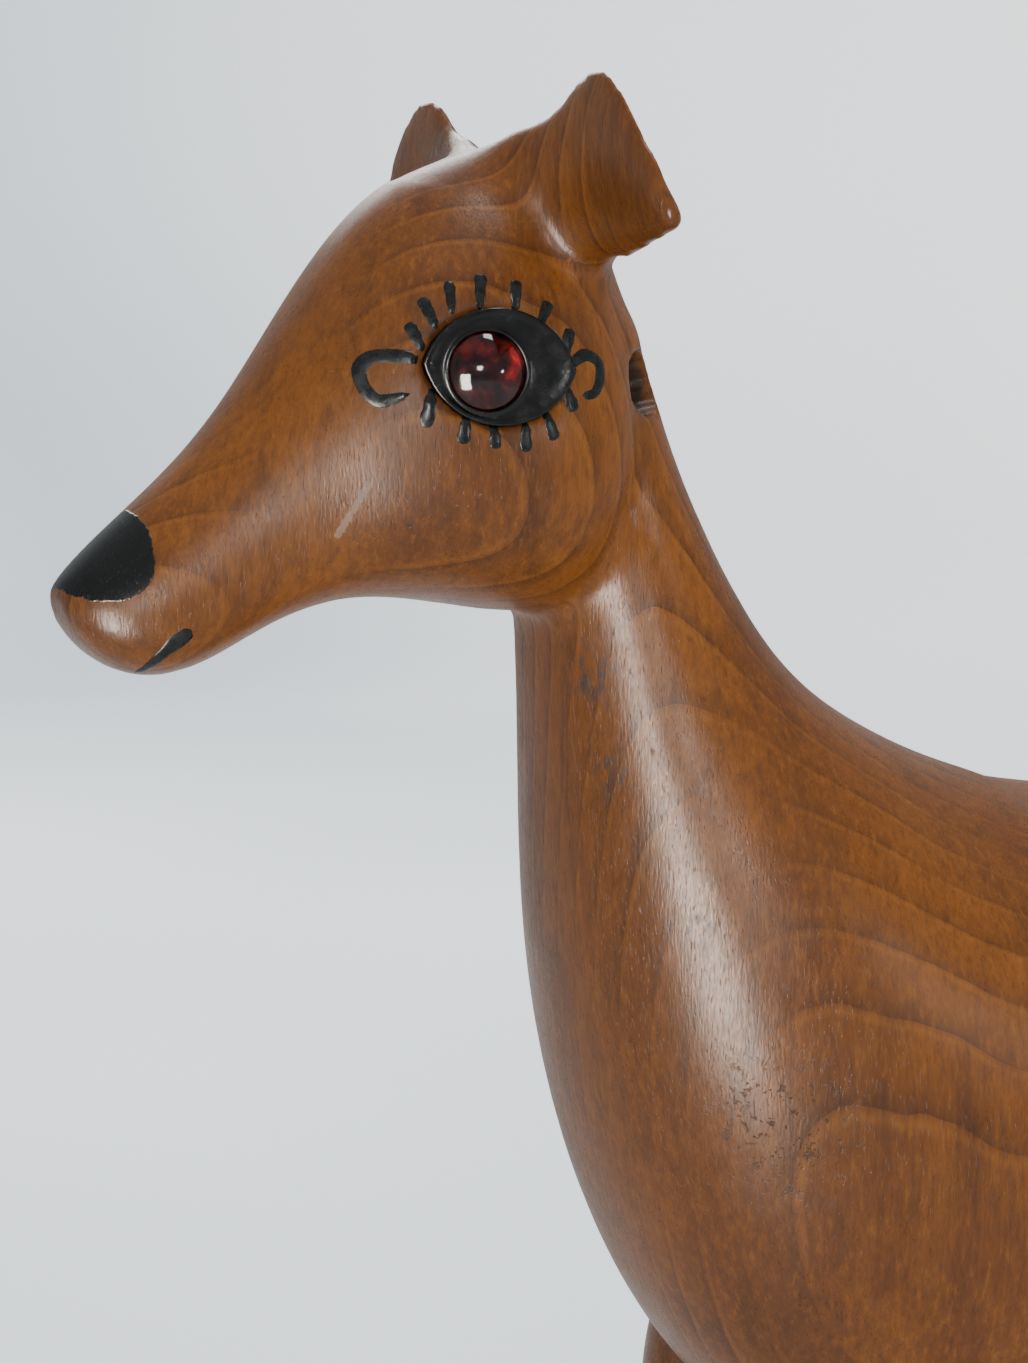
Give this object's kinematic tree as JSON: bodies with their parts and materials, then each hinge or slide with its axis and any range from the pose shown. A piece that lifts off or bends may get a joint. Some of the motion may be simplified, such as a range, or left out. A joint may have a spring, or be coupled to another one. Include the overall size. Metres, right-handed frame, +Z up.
{
  "type": "carved animal statue",
  "caption": "Standing carved wooden animal with long tapering head, spread ears, inlaid glass eyes, horn sockets in the nape and pegged legs and tail.",
  "frame": {"origin": "on the surface it stands on, under the middle of its bounding box", "axes": "+Z up, the animal faces -X, its left side is -Y"},
  "size_m": [0.2852, 0.102, 0.3408],
  "materials": {
    "carved_wood": "rubbed semi-gloss varnish over fine straight grain",
    "dowel_wood": "plain sanded hardwood",
    "eye_pitch": "black resin, glossy, slightly uneven",
    "eye_foil": "crumpled red foil",
    "eye_glass": "polished glass cabochon",
    "black_paint": "brushed black gloss paint on the nose, mouth and lashes"
  },
  "bodies": {
    "root": {"body_carving": "carved_wood", "eye_bed_left": "eye_pitch", "eye_bed_right": "eye_pitch", "eye_foil_left": "eye_foil", "eye_foil_right": "eye_foil", "eye_lens_left": "eye_glass", "eye_lens_right": "eye_glass", "leg_dowel_front_left": "dowel_wood", "leg_dowel_front_right": "dowel_wood", "leg_dowel_rear_left": "dowel_wood", "leg_dowel_rear_right": "dowel_wood", "leg_front_left": "carved_wood", "leg_front_right": "carved_wood", "leg_rear_left": "carved_wood", "leg_rear_right": "carved_wood", "tail": "carved_wood", "tail_dowel": "dowel_wood"}
  },
  "joints": []
}
